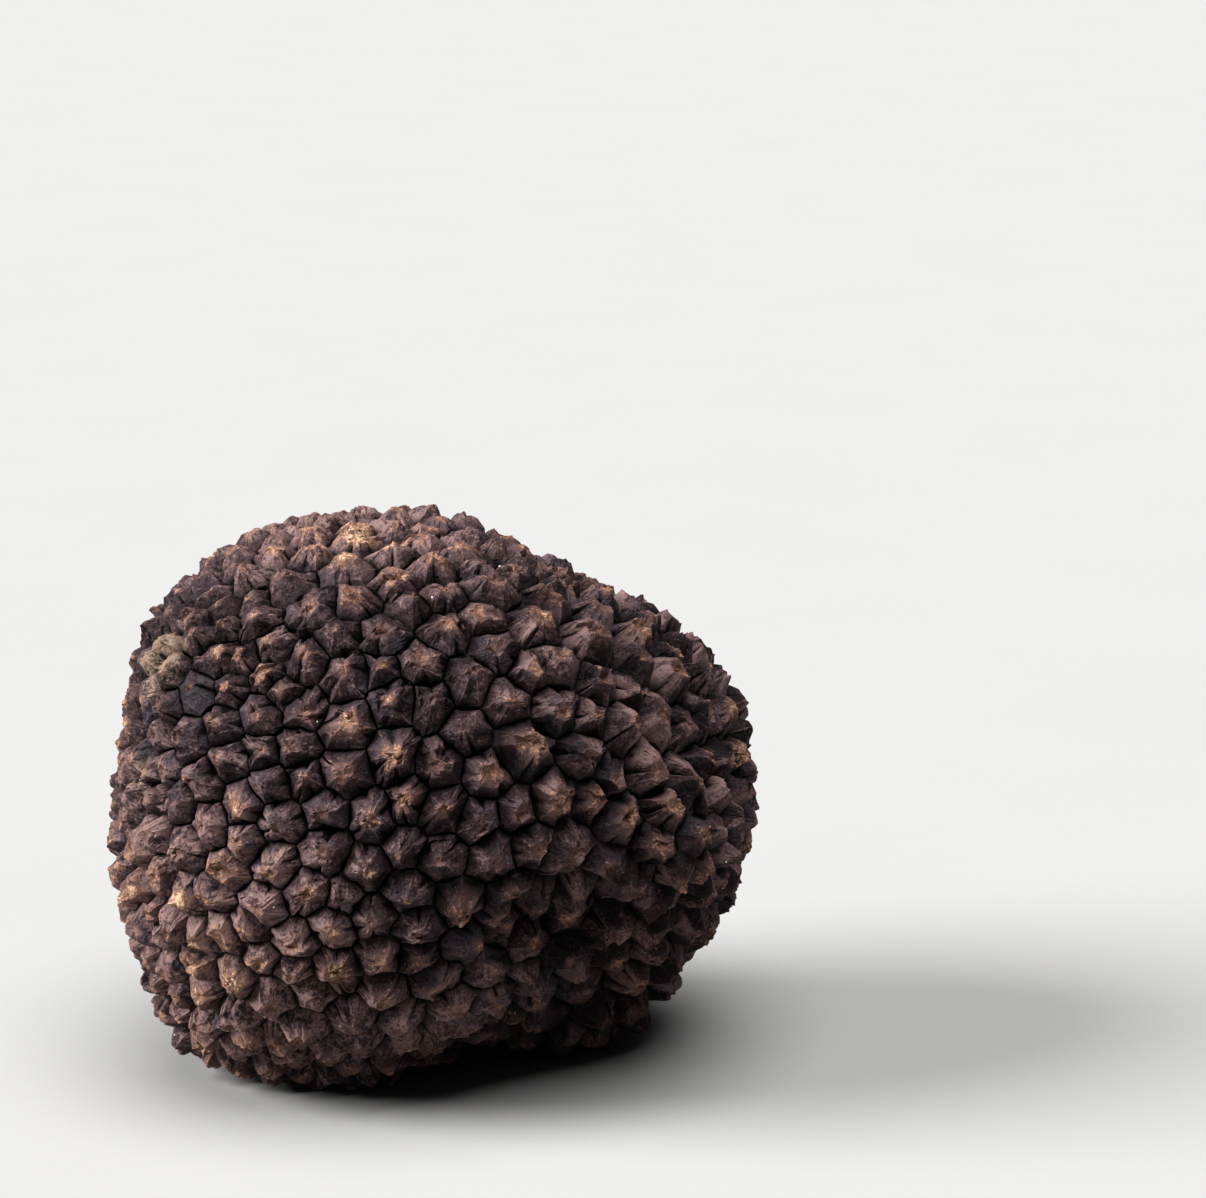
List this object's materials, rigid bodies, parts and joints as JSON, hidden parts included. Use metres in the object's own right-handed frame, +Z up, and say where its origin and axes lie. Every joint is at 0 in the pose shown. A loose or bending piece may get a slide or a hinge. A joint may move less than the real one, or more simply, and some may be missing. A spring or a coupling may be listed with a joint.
{
  "type": "black truffle",
  "caption": "Whole black truffle, a lumpy rounded fruiting body covered all over in many-sided pyramid warts, resting on small flats underneath.",
  "frame": {"origin": "middle of the base of the truffle's box, on the surface that it rests on", "axes": "+Z up as it rests, +X towards the nose, along its longest extent, -Y towards the overhanging front bulge"},
  "size_m": [0.0664, 0.0558, 0.0569],
  "materials": {
    "skin": "rough, matte, with a faint sheen on the warts' facets"
  },
  "bodies": {
    "root": {"truffle": "skin"}
  },
  "joints": []
}
